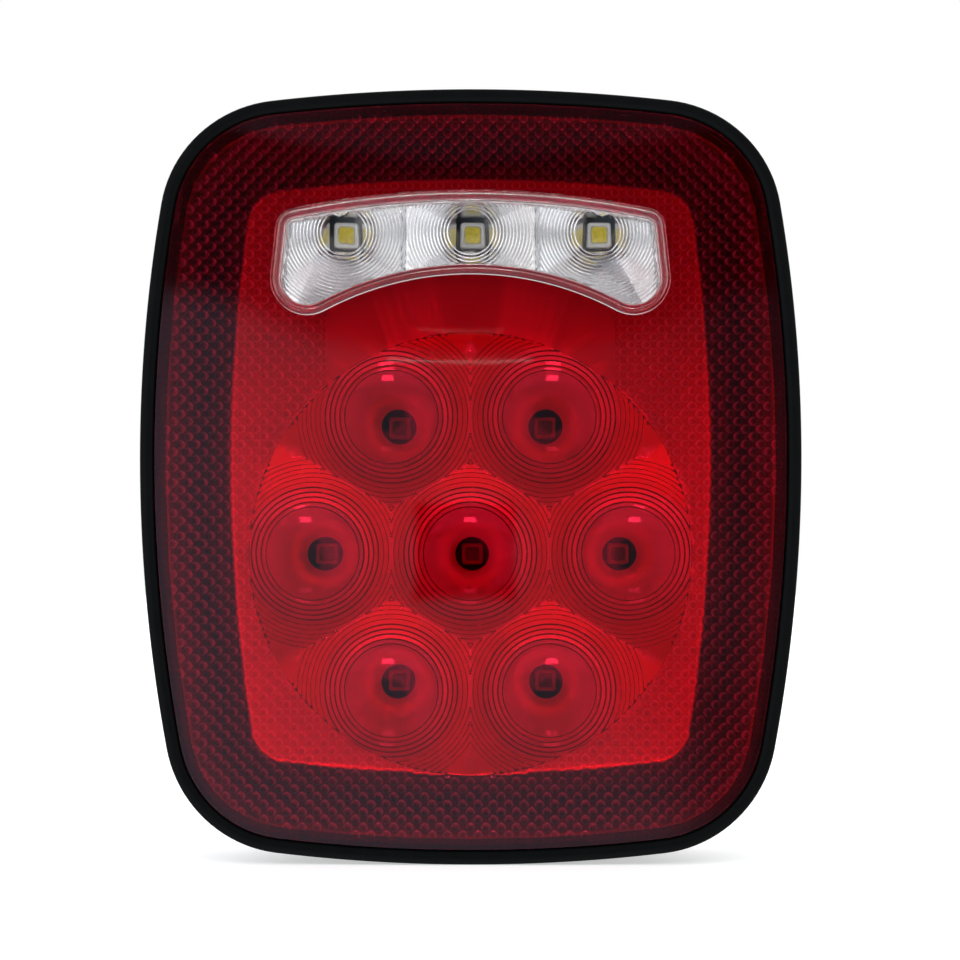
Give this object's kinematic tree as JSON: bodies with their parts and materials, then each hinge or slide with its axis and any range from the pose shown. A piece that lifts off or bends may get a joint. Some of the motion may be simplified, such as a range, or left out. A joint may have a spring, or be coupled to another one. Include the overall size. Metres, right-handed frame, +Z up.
{
  "type": "trailer tail light",
  "caption": "Flanged combination tail light with a domed red lens, ringed LED optics, a curved clear reversing window, and a rear stud mount with gasket and inlet.",
  "frame": {"origin": "middle of the rear mounting plane, on the back of the gasket", "axes": "+Z up as fitted, +Y backwards through the panel along the studs, so the lens faces -Y, +X to the right as seen from the front"},
  "size_m": [0.165, 0.0702, 0.1934],
  "materials": {
    "black_housing": "satin",
    "red_lens": "gloss",
    "clear_window": "gloss",
    "black_sealant": "matte",
    "metallised_plastic": "polished",
    "black_solder_mask": "satin",
    "red_led_package": "matte",
    "white_led_package": "matte",
    "zinc_plated_steel": "satin",
    "component_body": "matte",
    "capacitor_can": "satin",
    "black_nylon": "matte",
    "tinned_brass": "satin",
    "black_rubber": "matte"
  },
  "bodies": {
    "lamp": {"backup_reflector": "metallised_plastic", "backup_terminal": "tinned_brass", "backup_window": "clear_window", "ballast_resistor_1": "component_body", "ballast_resistor_2": "component_body", "ballast_resistor_3": "component_body", "ballast_resistor_4": "component_body", "board_screw_1": "zinc_plated_steel", "board_screw_2": "zinc_plated_steel", "board_screw_3": "zinc_plated_steel", "board_screw_4": "zinc_plated_steel", "board_screw_5": "zinc_plated_steel", "board_screw_6": "zinc_plated_steel", "circuit_board": "black_solder_mask", "driver_chip_1": "component_body", "driver_chip_2": "component_body", "filter_capacitor": "capacitor_can", "ground_terminal": "tinned_brass", "housing": "black_housing", "inlet_seal": "black_sealant", "inlet_socket": "black_nylon", "lens_seal": "black_sealant", "main_reflector": "metallised_plastic", "mounting_gasket": "black_rubber", "mounting_stud_1": "zinc_plated_steel", "mounting_stud_2": "zinc_plated_steel", "mounting_stud_3": "zinc_plated_steel", "rectifier_diode_1": "component_body", "rectifier_diode_2": "component_body", "rectifier_diode_3": "component_body", "red_led_1": "red_led_package", "red_led_2": "red_led_package", "red_led_3": "red_led_package", "red_led_4": "red_led_package", "red_led_5": "red_led_package", "red_led_6": "red_led_package", "red_led_7": "red_led_package", "red_lens": "red_lens", "stop_turn_terminal": "tinned_brass", "surge_suppressor": "component_body", "tail_terminal": "tinned_brass", "white_led_1": "white_led_package", "white_led_2": "white_led_package", "white_led_3": "white_led_package"},
    "washers_1": {"flat_washer_1": "zinc_plated_steel", "lock_washer_1": "zinc_plated_steel"},
    "nut_1": {"mounting_nut_1": "zinc_plated_steel"},
    "washers_2": {"flat_washer_2": "zinc_plated_steel", "lock_washer_2": "zinc_plated_steel"},
    "nut_2": {"mounting_nut_2": "zinc_plated_steel"},
    "washers_3": {"flat_washer_3": "zinc_plated_steel", "lock_washer_3": "zinc_plated_steel"},
    "nut_3": {"mounting_nut_3": "zinc_plated_steel"}
  },
  "joints": [
    {"name": "nut_1_travel", "type": "slide", "parent": "lamp", "child": "washers_1", "axis": [0, 1, 0], "range_m": [-0.0026, 0.0128]},
    {"name": "nut_1_turn", "type": "hinge", "parent": "washers_1", "child": "nut_1", "pos_m": [-0.038, 0, 0.046], "axis": [0, 1, 0], "range_deg": [-720, 3600]},
    {"name": "nut_2_travel", "type": "slide", "parent": "lamp", "child": "washers_2", "axis": [0, 1, 0], "range_m": [-0.0026, 0.0128]},
    {"name": "nut_2_turn", "type": "hinge", "parent": "washers_2", "child": "nut_2", "pos_m": [0.038, 0, 0.046], "axis": [0, 1, 0], "range_deg": [-720, 3600]},
    {"name": "nut_3_travel", "type": "slide", "parent": "lamp", "child": "washers_3", "axis": [0, 1, 0], "range_m": [-0.0026, 0.0128]},
    {"name": "nut_3_turn", "type": "hinge", "parent": "washers_3", "child": "nut_3", "pos_m": [0, 0, -0.062], "axis": [0, 1, 0], "range_deg": [-720, 3600]}
  ],
  "couplings": [
    {"joint": "nut_1_travel", "follows": "nut_1_turn", "m_per_rad": 0.00020213},
    {"joint": "nut_2_travel", "follows": "nut_2_turn", "m_per_rad": 0.00020213},
    {"joint": "nut_3_travel", "follows": "nut_3_turn", "m_per_rad": 0.00020213}
  ]
}
